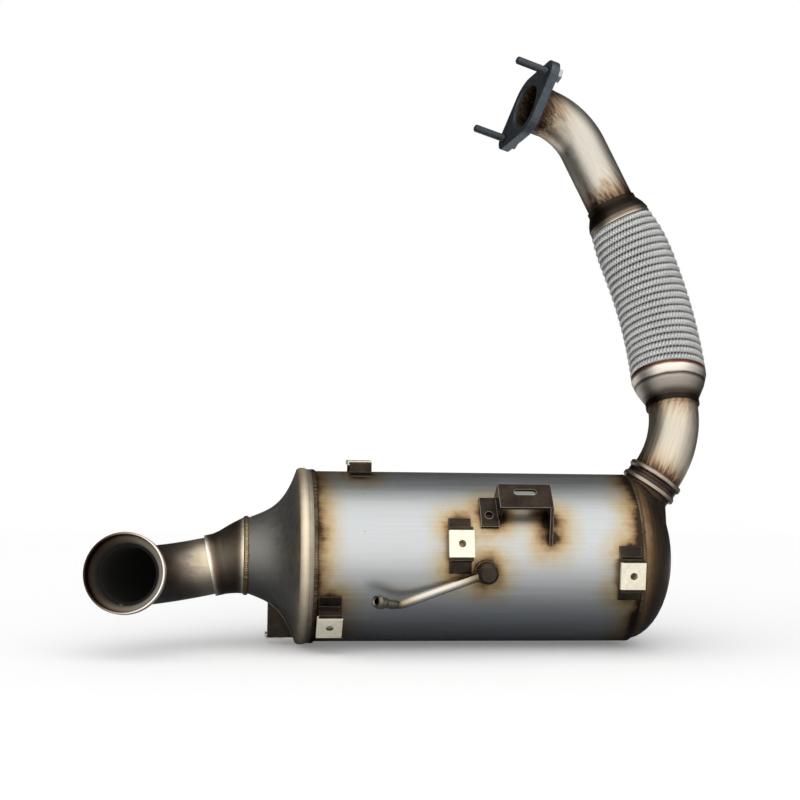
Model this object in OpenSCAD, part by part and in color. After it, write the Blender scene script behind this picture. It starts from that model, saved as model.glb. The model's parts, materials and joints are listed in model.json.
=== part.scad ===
// Diesel particulate filter with an inlet elbow, shield brackets and a braided outlet line.
// The origin is the centre of the inlet mouth. X runs along the can towards the outlet and Z is up.

/* [Can] */
// Outside diameter of the can, which grows where the bricks and their mats need more
can_d = 155; // [150:1:165]
// Length of the can between its two welds
can_len = 292; // [284:1:320]
// Sheet thickness of the can, cones and ferrules
sheet_t = 1.5; // [1.3:0.1:1.8]
// Length of the can that is hidden under the inlet cone's skirt
skirt_lap = 10; // [8:0.5:10.5]

/* [Filter bricks] */
// Diameter of both bricks
brick_d = 143.8; // [130:0.1:144]
// Least thickness of the mat round a brick
mat_least = 3; // [2:0.5:4]
// Length of the catalyst brick
catalyst_len = 101.6; // [80:0.1:104]
// Length of the filter brick
filter_len = 114; // [90:1:116]
// Width of the joint between the segments of the filter brick
segment_joint = 2; // [1:0.5:3]

/* [Inlet] */
// Outside diameter of the inlet elbow
inlet_d = 52; // [48:1:54]
// Wall of all pipes
pipe_t = 1.5; // [1.2:0.1:2]
// Outside diameter of the neck of the inlet cone
cone_neck_d = 69.2; // [66:0.2:72]
// Length of the trumpet of the inlet cone
cone_len = 43; // [40:1:48]
// Length of the reducer between the cone's neck and the elbow
reducer_len = 25; // [22:1:30]
// Angle by which the inlet line droops from the can's axis
inlet_droop = 12; // [8:0.5:16]
// Depth by which the reducer's narrow end is set lower than its wide end
reducer_sag = 4.5; // [2:0.5:7]
// Bend radius of the inlet elbow
elbow_r = 69; // [62:1:74]
// Bend angle of the inlet elbow
elbow_a = 84; // [78:1:88]
// Turn of the elbow's plane about its own axis
elbow_roll = 12; // [6:1:20]
// Outside diameter of the lip of the inlet mouth
lip_d = 70; // [67:1:74]

/* [Outlet line] */
// Outside diameter of the outlet pipes
outlet_d = 47; // [45:0.5:49]
// Depth of the domed end of the outlet cone
dome_depth = 42; // [40:1:46]
// Angle of the outlet neck above the can's axis
neck_a = 56; // [53:1:58]
// Bend radius of the lower pipe
lower_r = 94; // [88:1:100]
// Bend angle of the lower pipe
lower_a = 42; // [38:1:45]
// Turn of the lower bend's plane
lower_roll = -37; // [-44:1:-30]
// Turn of the bow's plane in the braided flex
flex_roll = 54; // [44:1:62]
// Length of the woven sleeve between its ferrules
braid_len = 163; // [150:1:175]
// Angle through which the braided flex is bowed
braid_a = 24.8; // [20:0.1:25]
// Depth by which the weave draws in at its upper end
braid_draw = 4.5; // [3:0.5:5]
// Rows of weave along the sleeve
braid_rows = 22; // [18:1:26]
// Diameter over the crests of the weave
braid_d = 74; // [73:0.5:76]
// Straight length of the upper pipe, with its end inside the ferrule
upper_len = 86; // [80:1:96]
// Turn of the upper bend's plane
upper_roll = -8; // [-14:0.5:0]
// Bend radius of the upper pipe
upper_r = 58; // [54:1:62]
// Bend angle of the upper pipe
upper_a = 55.5; // [50:0.5:60]

/* [Outlet flange] */
// Thickness of the flange plate
flange_t = 9; // [8:0.5:12]
// Distance between the two studs
stud_pitch = 90; // [86:1:98]
// Diameter of the studs
stud_d = 8; // [8:1:10]
// Length of stud in front of the plate
stud_out = 33; // [24:1:40]
// Turn of the plate about its bore
flange_turn = 109; // [98:1:120]

/* [Brackets] */
// Width of a heat-shield bracket along the can
shield_w = 20; // [18:1:22]
// Height of a heat-shield bracket above the can
shield_h = 11; // [10:0.5:14]
// Radius of the screw hole through a clip nut
screw_r = 3.2; // [2.7:0.1:3.5]
// Height of the engine bracket above the can
engine_h = 18; // [16:1:22]

/* [Pressure tap] */
// Outside diameter of the pressure pipe
tap_d = 8; // [7:0.5:9]
// Straight length of the pressure pipe beside the can
tap_run = 66; // [58:1:72]
// Outside diameter of the nipple's open end
nipple_d = 12; // [11:0.5:14]

/* [Hidden] */
$fn = 96;

// Clearances and common radii
fit = 0.1;
swage = 0.3;
swage_lap = 2;
brick_r = brick_d / 2;
can_r = max(can_d / 2, brick_r + mat_least + sheet_t);
can_in_r = can_r - sheet_t;
inlet_r = inlet_d / 2;
outlet_r = outlet_d / 2;
outlet_in_r = outlet_r - pipe_t;

// Inlet cone: neck, trumpet and crowned skirt, measured along the can's axis
cone_neck_r = cone_neck_d / 2;
skirt_end_x = -1;
skirt_r = can_r + fit;
skirt_out_r = skirt_r + sheet_t;
crown_r = 8;
crown_rise = 1.4;
crown_x = skirt_end_x - 7.5;
crown_half = sqrt(crown_r * crown_r - (crown_r - crown_rise) * (crown_r - crown_rise));
trumpet_end_x = crown_x - crown_half;
trumpet_x = trumpet_end_x - cone_len;
neck_len = 5;
neck_x = trumpet_x - neck_len;
trumpet_steps = 18;
flare_part = 0.38;

// Inlet line
droop_part = 0.5;
droop_r = droop_part * reducer_len * 180 / (PI * inlet_droop);
reducer_straight = (1 - droop_part) * reducer_len;
sleeve_len = 5;
sleeve_step = 0.4;
reducer_steps = 3;
bell_grip = 6;
bell_len = 24;
lip_len = 8;
lip_r = lip_d / 2;

// Outlet cone
lap = 12;
dome_r = can_in_r - fit;
dome_land = 1;
neck_forward = 27;
neck_drop = 9.5;
dome_x = can_len + dome_land;
dome_steps = 14;
neck_c = [can_len + neck_forward, 0, can_r - neck_drop];
collar_back = 4.5;
collar_len = 16.5;
collar_clear = 0.3;
collar_front = collar_len - collar_back;

// Braided flex
lower_ferrule_len = 34;
upper_ferrule_len = 22;
ferrule_gap = 1;
band_len = 5;
belly_out = 0.66;
belly_up = 0.55;
weave_h = 2.6;
weave_t = 0.9;
braid_bore_r = braid_d / 2 - weave_h - braid_draw - weave_t;
band_sink = 2.8;
lower_band_r = braid_d / 2 - band_sink;
upper_band_r = lower_band_r - braid_draw;
draw_rows = 5;
bellows_fold = 3.2;
bellows_wall = 1;
bellows_r = braid_bore_r - swage - 2 * fit;
bellows_in_r = bellows_r - bellows_fold - bellows_wall;
liner_gap = 0.8;
liner_r = bellows_in_r - liner_gap;
braid_r = braid_len * 180 / (PI * braid_a);

// Outlet flange
flange_stem = 12;
flange_face_set = 2;
flange_boss_r = outlet_r + 8;
lug_r = 11.5;
shank_r = stud_d / 2 + 0.5;
stud_hole_r = shank_r + fit;
weld_leg = 3.5;

// Brackets
plate_t = 1.5;
clip_t = 1.2;
clip_barrel_r = 5.4;
clip_barrel_len = 4;
foot_len = 9;
engine_t = 3;
engine_x = 185;
engine_theta = 40;

// Pressure tap
tap_x = 150;
tap_theta = -4;
boss_r = 9;
boss_h = 15;
tap_lift = 8;
tap_grip = 4;
tap_slope = 20;
tap_bend_r = 13;
tap_bend_a = 48;
tap_roll = 40;
nipple_len = 24;
tap_in_r = tap_d / 2 - 1.2;
tap_hole_r = 0.75 * tap_in_r;

// Radius of the trumpet at a fraction of its length, and the slope of its wall there
function trumpet_r(t) =
    cone_neck_r + (skirt_out_r - cone_neck_r) * (flare_part * t + (1 - flare_part) * pow(t, 4));
function trumpet_slope(t) =
    (skirt_out_r - cone_neck_r) * (flare_part + 4 * (1 - flare_part) * pow(t, 3)) / cone_len;
function trumpet_point(t, depth) =
    let (s = trumpet_slope(t), n = sqrt(1 + s * s))
    [trumpet_r(t) - depth / n, trumpet_x + cone_len * t + depth * s / n];
function trumpet_wall(depth, last) =
    [for (i = [0 : trumpet_steps]) trumpet_point(last * i / trumpet_steps, depth)];

// Crowned bead round the skirt
crown_a = asin(crown_half / crown_r);
crown_points = [for (i = [1 : 8])
    let (a = -crown_a + 2 * crown_a * i / 8)
    [skirt_out_r + crown_r * cos(a) - (crown_r - crown_rise), crown_x + crown_r * sin(a)]];
cone_outer = concat([[cone_neck_r, neck_x]], trumpet_wall(0, 1), crown_points, [[skirt_out_r, skirt_end_x]]);
trumpet_inner = trumpet_wall(sheet_t, 0.93);
cone_inner = concat(
    [[cone_neck_r - sheet_t, neck_x]], trumpet_inner,
    [[skirt_r, trumpet_end_x + 1.2], [skirt_r, skirt_end_x]]);

// Half an ellipse from the can's end to the axis
function dome_wall(inset) = [for (i = [0 : dome_steps])
    let (a = 90 * i / dome_steps)
    [(dome_r - inset) * cos(a), dome_x + (dome_depth - inset) * sin(a)]];

// Outline round three circles, the two lugs and the middle
function lug_point(a) =
    let (reach = stud_pitch / 2 * abs(cos(a)) + lug_r, middle = reach < flange_boss_r)
    middle ? flange_boss_r * [cos(a), sin(a)]
        : [sign(cos(a)) * stud_pitch / 2 + lug_r * cos(a), lug_r * sin(a)];

// Place of the mouth, seen from the can's inlet end
droop_dir = [-cos(inlet_droop), 0, -sin(inlet_droop)];
elbow_side = [-sin(elbow_roll) * sin(inlet_droop), -cos(elbow_roll), sin(elbow_roll) * cos(inlet_droop)];
adapter_start = [neck_x - droop_r * sin(inlet_droop), 0, -droop_r * (1 - cos(inlet_droop))]
    + reducer_sag * [sin(inlet_droop), 0, -cos(inlet_droop)];
mouth = adapter_start
    + droop_dir * (reducer_straight + sleeve_len + elbow_r * sin(elbow_a) + bell_len * cos(elbow_a))
    + elbow_side * (elbow_r * (1 - cos(elbow_a)) + bell_len * sin(elbow_a));

// Carries everything from the can's inlet end to the mouth's centre
module placed() {
    translate(-mouth)
        children();
}

// Frame at the end of a bend that starts along Z and turns towards X
module turn(r, a) {
    translate([r, 0, 0])
        rotate([0, a, 0])
            translate([-r, 0, 0])
                children();
}

// Solid bar or hollow tube round that bend
module bend(r, a, outer, inner) {
    translate([r, 0, 0])
        rotate([90, 0, 180])
            rotate_extrude(angle = a)
                translate([r, 0])
                    difference() {
                        circle(r = outer);
                        if (inner > 0) circle(r = inner);
                    }
}

module tube(len, outer, inner) {
    linear_extrude(height = len)
        difference() {
            circle(r = outer);
            circle(r = inner);
        }
}

// Thickened straight end that laps over the end of a bend
module swaged_tail(len, r) {
    translate([0, 0, -swage_lap])
        tube(swage_lap + len, r + swage, r - pipe_t - swage);
}

// Profile of radius and place along the can, turned about the can's axis
module along_can() {
    placed()
        rotate([0, 90, 0])
            children();
}

module ring(points) {
    rotate_extrude()
        polygon(points);
}

// Frame on the can's skin: X along the can, Y round it upwards, Z out of it
module on_can(x, theta) {
    placed()
        translate([x, 0, 0])
            rotate([90 - theta, 0, 0])
                translate([0, 0, can_r])
                    children();
}

// The can's own cylinder in that frame, to seat a foot on it
module can_body(r, half) {
    translate([-half, 0, -can_r])
        rotate([0, 90, 0])
            cylinder(h = 2 * half, r = r);
}

// Frames along the inlet line
module inlet_start() {
    placed()
        translate([neck_x, 0, 0])
            rotate([0, -90, 0])
                rotate([0, 0, 180])
                    children();
}

// Frame inside the reducer: it droops over its first part, runs straight after that and sinks all the way
module reducer_frame(t) {
    turn(droop_r, inlet_droop * min(1, t / droop_part))
        translate([reducer_sag * t * (2 - t), 0, reducer_len * max(0, t - droop_part)])
            children();
}

module adapter_frame() {
    inlet_start()
        reducer_frame(1)
            rotate([0, 0, 90 + elbow_roll])
                children();
}

module elbow_frame() {
    adapter_frame()
        translate([0, 0, sleeve_len])
            children();
}

module bell_frame() {
    elbow_frame()
        turn(elbow_r, elbow_a)
            children();
}

// Frames along the outlet line
module neck_frame() {
    placed()
        translate(neck_c)
            rotate([0, 90 - neck_a, 0])
                rotate([0, 0, 180])
                    children();
}

module lower_bend_frame() {
    neck_frame()
        translate([0, 0, collar_front])
            rotate([0, 0, lower_roll])
                children();
}

module lower_ferrule_frame() {
    lower_bend_frame()
        turn(lower_r, lower_a)
            translate([0, 0, ferrule_gap])
                children();
}

module flex_frame() {
    lower_ferrule_frame()
        translate([0, 0, lower_ferrule_len])
            rotate([0, 0, flex_roll])
                children();
}

module upper_frame() {
    flex_frame()
        turn(braid_r, braid_a)
            children();
}

module upper_bend_frame() {
    upper_frame()
        translate([0, 0, upper_len])
            rotate([0, 0, upper_roll])
                children();
}

module flange_frame() {
    upper_bend_frame()
        turn(upper_r, upper_a)
            translate([0, 0, flange_stem])
                rotate([0, 0, flange_turn])
                    children();
}

// Flared mouth with a straight lip, gripping the elbow's end
module inlet_bell() {
    grip_r = inlet_r + swage + fit;
    flare_len = bell_len - lip_len - bell_grip;
    wall = [for (i = [0 : 10])
        let (a = 180 * i / 10)
        [grip_r + (lip_r - sheet_t - grip_r) * (1 - cos(a)) / 2, bell_grip + flare_len * i / 10]];
    outer = [for (p = wall) [p[0] + sheet_t, p[1]]];
    back = [for (i = [10 : -1 : 0]) wall[i]];
    color("#cfcabd")
        bell_frame()
            ring(concat(
                [[grip_r + sheet_t, 0]], outer,
                [[lip_r, bell_len - 0.6], [lip_r - 0.6, bell_len], [lip_r - sheet_t, bell_len]], back,
                [[grip_r, 0]]));
}

// Bent tube with a straight tail in the adapter's sleeve and a swaged tail in the bell
module inlet_elbow() {
    color("#a89d8c")
        elbow_frame() {
            bend(elbow_r, elbow_a, inlet_r, inlet_r - pipe_t);
            translate([0, 0, -sleeve_len])
                tube(sleeve_len, inlet_r, inlet_r - pipe_t);
            turn(elbow_r, elbow_a)
                swaged_tail(bell_grip, inlet_r);
        }
}

// Reducer that carries the droop and ends in a sleeve over the elbow's tail
module inlet_adapter() {
    sleeve_r = inlet_r + fit;
    sleeve_start = -1.5;
    color("#8f897c")
        union() {
            difference() {
                reducer(sleeve_r + sheet_t, 0);
                reducer(sleeve_r + sleeve_step, sheet_t);
            }
            adapter_frame()
                translate([0, 0, sleeve_start])
                    tube(sleeve_len + 1 - sleeve_start, sleeve_r + sheet_t + sleeve_step, sleeve_r);
        }
}

// Solid of the reducer: discs that shrink along the droop, with its wide end at the neck of the cone
module reducer(end_r, inset) {
    slice = 0.02;
    start_r = cone_neck_r - inset;
    inlet_start()
        for (i = [0 : reducer_steps - 1])
            hull()
                for (t = [i / reducer_steps, (i + 1) / reducer_steps])
                    reducer_frame(t)
                        translate([0, 0, -slice * t])
                            cylinder(h = slice, r = end_r + (start_r - end_r) * pow(1 - t, 1.5));
}

// Trumpet that ends in a crowned skirt over the can
module inlet_cone() {
    color("#54524c")
        along_can()
            ring(concat(cone_outer, [for (i = [len(cone_inner) - 1 : -1 : 0]) cone_inner[i]]));
}

// Bead round the neck of the inlet cone
module inlet_cone_weld() {
    bead = 1.4;
    color("#b59a72")
        along_can()
            ring([for (i = [0 : 12]) [
                cone_neck_r + fit + bead * sin(15 * i), neck_x + neck_len / 2 - neck_len / 2 * cos(15 * i)]]);
}

// Fillet between the skirt's edge and the can
module can_inlet_weld() {
    foot = 4.5;
    color("#6e6046")
        along_can()
            ring([
                [skirt_r, skirt_end_x], [skirt_out_r - fit, skirt_end_x],
                [can_r + sheet_t * 0.7, skirt_end_x + foot * 0.55], [skirt_r, skirt_end_x + foot]]);
}

// Rolled shell with the hole of the pressure tap
module can_shell() {
    color("#b4b7b8")
        difference() {
            along_can()
                translate([0, 0, skirt_end_x - skirt_lap])
                    tube(can_len - skirt_end_x + skirt_lap, can_r, can_in_r);
            on_can(tap_x, tap_theta)
                translate([0, 0, -sheet_t * 3])
                    cylinder(h = sheet_t * 6, r = tap_hole_r);
        }
}

// Fillet between the can's edge and the outlet cone
module can_outlet_weld() {
    color("#7d6c4e")
        along_can()
            ring([
                [can_in_r, can_len], [can_r, can_len],
                [can_r - 0.3, can_len + 1.4], [can_in_r, can_len + 3.2]]);
}

// Domed end with its drawn neck
module outlet_cone() {
    flare_r = 42;
    flare_start = -34;
    flare_end = -9;
    neck_end = 3;
    stem_start = -20;
    color("#5a4b3b")
        difference() {
            union() {
                along_can()
                    ring(concat([[0, can_len - lap], [dome_r, can_len - lap]], dome_wall(0)));
                neck_frame()
                    translate([0, 0, flare_start])
                        cylinder(h = flare_end - flare_start, r1 = flare_r, r2 = outlet_r);
                neck_frame()
                    translate([0, 0, stem_start])
                        cylinder(h = neck_end - stem_start, r = outlet_r);
            }
            along_can()
                ring(concat(
                    [[0, can_len - 4 * lap], [dome_r - sheet_t, can_len - 4 * lap]], dome_wall(sheet_t)));
            neck_frame()
                translate([0, 0, flare_start - 1])
                    cylinder(h = flare_end - flare_start, r1 = flare_r - sheet_t, r2 = outlet_in_r);
            neck_frame()
                translate([0, 0, stem_start - 2])
                    cylinder(h = neck_end - stem_start + 3, r = outlet_in_r);
        }
}

// Sleeve with two ridges that joins the neck and the lower pipe, kept clear of the dome
module outlet_collar() {
    inner = outlet_r + fit;
    ridge = outlet_r + 3.4;
    groove = outlet_r + 1.5;
    color("#c9bda6")
        difference() {
            neck_frame()
                translate([0, 0, -collar_back])
                    ring([
                        [inner, 0], [ridge - 1, 0], [ridge, 1], [ridge, 4], [groove, 6],
                        [groove, collar_len - 6], [ridge, collar_len - 4], [ridge, collar_len - 1],
                        [ridge - 1, collar_len], [inner, collar_len]]);
            along_can()
                ring(concat([[0, can_len], [dome_r + collar_clear, can_len]], dome_wall(-collar_clear)));
        }
}

// Bent pipe from the collar to the flex
module lower_pipe() {
    start = 4;
    color("#cdbfa8")
        lower_bend_frame() {
            translate([0, 0, start - collar_front])
                tube(collar_front - start, outlet_r, outlet_in_r);
            bend(lower_r, lower_a, outlet_r, outlet_in_r);
            turn(lower_r, lower_a)
                swaged_tail(ferrule_gap + lower_ferrule_len, outlet_r);
        }
}

// Pressed cup that grips the pipe and clamps the end of the weave
module ferrule(length, grip_r, grip_len, band_r) {
    band_start = length - band_len;
    groove = sheet_t * 0.6;
    belly = [grip_r + belly_out * (band_r - grip_r), grip_len + belly_up * (band_start - grip_len)];
    ring([
        [grip_r, 0], [grip_r + sheet_t, 0], [grip_r + sheet_t, grip_len], [belly[0] + sheet_t, belly[1]],
        [band_r + sheet_t, band_start], [band_r + sheet_t, band_start + 1.5],
        [band_r + groove, band_start + 2], [band_r + groove, band_start + 3],
        [band_r + sheet_t, band_start + 3.5], [band_r + sheet_t, length],
        [band_r, length], [band_r, band_start + 0.5], [belly[0], belly[1] + 0.5], [grip_r, grip_len + 0.5]]);
}

module lower_ferrule() {
    color("#a8846a")
        lower_ferrule_frame()
            ferrule(lower_ferrule_len, outlet_r + swage + fit, 6, lower_band_r);
}

module upper_ferrule() {
    color("#9c8a76")
        upper_frame()
            translate([0, 0, upper_ferrule_len])
                mirror([0, 0, 1])
                    ferrule(upper_ferrule_len, outlet_r + fit, 4, upper_band_r);
}

// One disc of the flex with a crest between two valleys, placed round the bow
module row(place, half, crest_r, valleys, crest_part) {
    turn(braid_r, place)
        ring([
            [0, -half], [valleys[0], -half], [crest_r, -half * crest_part],
            [crest_r, half * crest_part], [valleys[1], half], [0, half]]);
}

// Half the length of a row, so that neighbours overlap on the outside of the bow
function row_half(step) = PI * step / 360 * (braid_r + braid_d / 2) + 0.5;

// Bore round the bow, and what lies beyond the two ends of the bow
module flex_bore(r) {
    over = 3;
    turn(braid_r, -over)
        bend(braid_r, braid_a + 2 * over, r, 0);
    translate([0, 0, -2 * lower_ferrule_len])
        cylinder(h = 2 * lower_ferrule_len, r = braid_d);
    turn(braid_r, braid_a)
        cylinder(h = 2 * lower_ferrule_len, r = braid_d);
}

// Radius over the crests at a row, drawn in over the last rows
function crest_at(i) =
    braid_d / 2 - braid_draw * pow(min(1, max(0, 1 - (braid_rows - 1 - i) / draw_rows)), 2);

// Woven sleeve, drawn in at its upper end, with a smooth tail in each ferrule
module flex_braid() {
    tail = band_len - 1;
    step = braid_a / braid_rows;
    color("#a3a7a4")
        flex_frame() {
            difference() {
                union()
                    for (i = [0 : braid_rows - 1])
                        row(step * (i + 0.5), row_half(step), crest_at(i),
                            [crest_at(i - 0.5) - weave_h, crest_at(i + 0.5) - weave_h], 0.34);
                flex_bore(braid_bore_r);
            }
            translate([0, 0, -tail])
                tube(tail + swage_lap, lower_band_r - fit, braid_bore_r - swage);
            turn(braid_r, braid_a)
                translate([0, 0, -swage_lap])
                    tube(tail + swage_lap, upper_band_r - fit, braid_bore_r - swage);
        }
}

// Corrugated gas seal under the weave
module flex_bellows() {
    valley = bellows_r - bellows_fold;
    count = braid_rows + 6;
    step = braid_a / count;
    color("#8b8d8c")
        flex_frame()
            difference() {
                union()
                    for (i = [0 : count - 1])
                        row(step * (i + 0.5), row_half(step), bellows_r, [valley, valley], 0.4);
                flex_bore(bellows_in_r);
            }
}

// Smooth liner that carries the gas through the flex
module flex_liner() {
    color("#77736a")
        flex_frame()
            bend(braid_r, braid_a, liner_r, liner_r - pipe_t);
}

// Pipe from the flex to the flange
module upper_pipe() {
    color("#cabda6")
        upper_bend_frame() {
            translate([0, 0, -upper_len])
                tube(upper_len, outlet_r, outlet_in_r);
            bend(upper_r, upper_a, outlet_r, outlet_in_r);
            turn(upper_r, upper_a)
                swaged_tail(flange_stem + flange_t - flange_face_set, outlet_r);
        }
}

// Fillet behind the flange plate
module flange_weld() {
    color("#5f5646")
        flange_frame()
            translate([0, 0, -weld_leg])
                ring([
                    [outlet_r + swage + fit, 0], [outlet_r + weld_leg * 0.7, weld_leg * 0.4],
                    [outlet_r + weld_leg, weld_leg], [outlet_r + swage + fit, weld_leg]]);
}

// Two-lug plate
module outlet_flange() {
    color("#2b3036")
        flange_frame()
            difference() {
                linear_extrude(height = flange_t)
                    polygon([for (a = [0 : 5 : 355]) lug_point(a)]);
                translate([0, 0, -1])
                    cylinder(h = flange_t + 2, r = outlet_r + swage + fit);
                for (side = [-1, 1])
                    translate([side * stud_pitch / 2, 0, -1])
                        cylinder(h = flange_t + 2, r = stud_hole_r);
            }
}

// Two bolts pressed in from behind: a thick shank in the plate, then the thread with a bevelled tip
module flange_studs() {
    head_h = 5.5;
    head_r = 7.5;
    tip = 1.2;
    reach = flange_t + stud_out;
    color("#4a4c4e")
        flange_frame()
            for (side = [-1, 1])
                translate([side * stud_pitch / 2, 0, 0])
                    union() {
                        translate([0, 0, -head_h])
                            cylinder(h = head_h, r = head_r, $fn = 6);
                        ring([
                            [0, -1], [shank_r, -1], [shank_r, flange_t - 1], [stud_d / 2, flange_t],
                            [stud_d / 2, reach - tip],
                            [stud_d / 2 - tip, reach], [0, reach]]);
                    }
}

// Sheet hat that stands on two feet round the can and carries a clip nut on its top
module shield_hat(top) {
    span = 30;
    reach = span / 2 + foot_len;
    depth = can_r - sqrt(can_r * can_r - reach * reach);
    difference() {
        union() {
            translate([-shield_w / 2, -span / 2, top - plate_t])
                cube([shield_w, span, plate_t]);
            for (side = [-1, 1])
                translate([-shield_w / 2, side * (span - plate_t) / 2 - plate_t / 2, -depth])
                    cube([shield_w, plate_t, top + depth]);
            intersection() {
                can_body(can_r + plate_t, shield_w / 2);
                union()
                    for (side = [-1, 1])
                        translate([-shield_w, side * (span + foot_len) / 2 - foot_len / 2 - 0.5, -depth - 3])
                            cube([2 * shield_w, foot_len + 1, depth + 6]);
            }
        }
        can_body(can_r, shield_w);
        translate([0, 0, top - 2 * plate_t])
            cylinder(h = 3 * plate_t, r = screw_r);
    }
}

// Spring clip folded over one edge of a plate, with a nut barrel underneath
module clip(top, wide, len) {
    gap = plate_t + fit;
    over = 1.2;
    edge = -wide / 2 - 0.3;
    under = top - gap - clip_t - clip_barrel_len;
    difference() {
        union() {
            translate([edge, -len / 2, top])
                cube([wide + over, len, clip_t]);
            translate([edge, -len / 2, top - gap - clip_t])
                cube([wide - 1, len, clip_t]);
            translate([edge - clip_t, -len / 2, top - gap - clip_t])
                cube([clip_t, len, gap + 2 * clip_t]);
            translate([0, 0, under])
                cylinder(h = clip_barrel_len + clip_t, r = clip_barrel_r);
        }
        translate([0, 0, under - 1])
            cylinder(h = top + clip_t - under + 2, r = screw_r);
    }
}

// Places of the brackets: along the can, round it, and height of the plate
left_place = [14, -39, shield_h];
middle_place = [127, 13, shield_h];
right_place = [can_len - 12, -5, shield_h];
top_place = [44, 90, shield_h - 2];
cone_plate_w = 14;
cone_place = [trumpet_end_x - 18.2, -90, -4];

module shield_bracket(place) {
    color("#3a332b")
        on_can(place[0], place[1])
            shield_hat(place[2]);
}

module shield_bracket_left() {
    shield_bracket(left_place);
}

module shield_bracket_middle() {
    shield_bracket(middle_place);
}

module shield_bracket_right() {
    shield_bracket(right_place);
}

module shield_bracket_top() {
    shield_bracket(top_place);
}

// Angle under the trumpet: its plate and the web at its outer side both run into the flare
module shield_bracket_cone() {
    top = cone_place[2];
    leg = 34;
    reach = cone_plate_w + 12;
    color("#3a332b")
        difference() {
            on_can(cone_place[0], cone_place[1])
                difference() {
                    union() {
                        translate([-cone_plate_w / 2, -shield_w / 2, top - plate_t])
                            cube([reach, shield_w, plate_t]);
                        translate([-cone_plate_w / 2, shield_w / 2 - plate_t, top - leg])
                            cube([reach, plate_t, leg]);
                    }
                    translate([0, 0, top - 2 * plate_t])
                        cylinder(h = 3 * plate_t, r = screw_r);
                }
            along_can()
                ring(concat([[0, neck_x]], cone_outer, [[0, skirt_end_x]]));
        }
}

module clip_nuts() {
    color("#e6dfc6")
        union() {
            for (place = [left_place, middle_place, right_place, top_place])
                on_can(place[0], place[1])
                    clip(place[2], shield_w, shield_w + 4);
            on_can(cone_place[0], cone_place[1])
                clip(cone_place[2], cone_plate_w, shield_w - 4);
        }
}

// Bridge with a slot, a foot tab on its inlet side and a pointed leg on its outlet side
module engine_bracket() {
    len = 48;
    wide = 26;
    tab = 15;
    tab_wide = 30;
    tab_drop = 6;
    slot_len = 20;
    slot_wide = 6;
    point = 36;
    tab_box = 18;
    tab_hole_r = 3.5;
    color("#46423b")
        on_can(engine_x, engine_theta)
            difference() {
                union() {
                    translate([-len / 2, -wide / 2, engine_h - engine_t])
                        cube([len, wide, engine_t]);
                    translate([-len / 2, -wide / 2, -6])
                        cube([engine_t, wide, engine_h + 6]);
                    translate([len / 2 - engine_t, 0, 0])
                        rotate([90, 0, 90])
                            linear_extrude(height = engine_t)
                                polygon([[wide / 2, engine_h], [-wide / 2, engine_h], [-point, -6],
                                    [-point + 2, -10], [wide / 2, -4]]);
                    intersection() {
                        can_body(can_r + engine_t, len);
                        translate([-len / 2 - tab, -tab_wide / 2 - tab_drop, -2 * tab_box / 3])
                            cube([tab + 1, tab_wide, tab_box]);
                    }
                }
                can_body(can_r, len);
                translate([0, 4, engine_h - 2 * engine_t])
                    linear_extrude(height = 3 * engine_t)
                        union() {
                            square([slot_len - slot_wide, slot_wide], center = true);
                            for (side = [-1, 1])
                                translate([side * (slot_len - slot_wide) / 2, 0])
                                    circle(d = slot_wide);
                        }
                translate([-len / 2 - tab / 2, -tab_drop - 4, -tab_box / 2])
                    cylinder(h = tab_box, r = tab_hole_r);
            }
}

// Frame of the pressure pipe where it leaves the boss
module tap_frame() {
    on_can(tap_x, tap_theta)
        translate([0, 0, tap_lift])
            rotate([0, 0, 180 + tap_slope])
                rotate([0, 90, 0])
                    rotate([0, 0, 180])
                        children();
}

module tap_bend_frame() {
    tap_frame()
        translate([0, 0, boss_r + tap_run])
            rotate([0, 0, tap_roll])
                children();
}

module tap_end_frame() {
    tap_bend_frame()
        turn(tap_bend_r, tap_bend_a)
            children();
}

// Boss welded to the can, drilled through and to one side
module pressure_boss() {
    color("#3c3833")
        difference() {
            on_can(tap_x, tap_theta)
                translate([0, 0, -1])
                    ring([
                        [0, 0], [boss_r, 0], [boss_r, boss_h - 1.5],
                        [boss_r - 2.5, boss_h + 1], [0, boss_h + 1]]);
            on_can(tap_x, tap_theta)
                can_body(can_r, 2 * boss_r);
            on_can(tap_x, tap_theta)
                translate([0, 0, -3])
                    cylinder(h = tap_lift + 3, r = tap_hole_r);
            tap_frame()
                translate([0, 0, -tap_in_r])
                    cylinder(h = 2 * boss_r, r = tap_in_r);
            tap_frame()
                translate([0, 0, boss_r - tap_grip])
                    cylinder(h = boss_r, r = tap_d / 2 + fit);
        }
}

// Thin pipe along the can with a bend at its end
module pressure_pipe() {
    color("#b9b4a8")
        tap_bend_frame() {
            translate([0, 0, -tap_run - tap_grip])
                tube(tap_run + tap_grip, tap_d / 2, tap_in_r);
            bend(tap_bend_r, tap_bend_a, tap_d / 2, tap_in_r);
        }
}

// Open hose nipple with a rounded barb
module pressure_nipple() {
    base = tap_d / 2;
    barb = nipple_d / 2;
    color("#8d877a")
        tap_end_frame()
            ring([
                [tap_in_r, 0], [base, 0], [base + 0.6, 1.5], [base + 0.6, nipple_len - 11],
                [barb, nipple_len - 8], [barb, nipple_len - 3], [barb - 1.2, nipple_len],
                [tap_in_r + 1, nipple_len], [tap_in_r, nipple_len - 1]]);
}

// Bricks lie in their mats, with a gap between them at the pressure tap
catalyst_x = 12;
filter_x = can_len - lap - filter_len - 2;

module brick(x, len) {
    along_can()
        translate([0, 0, x])
            cylinder(h = len, r = brick_r);
}

module mat(x, len) {
    inset = 6;
    along_can()
        translate([0, 0, x + inset])
            tube(len - 2 * inset, can_in_r - fit, brick_r + fit);
}

module catalyst_brick() {
    color("#c8b79a")
        brick(catalyst_x, catalyst_len);
}

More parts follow.
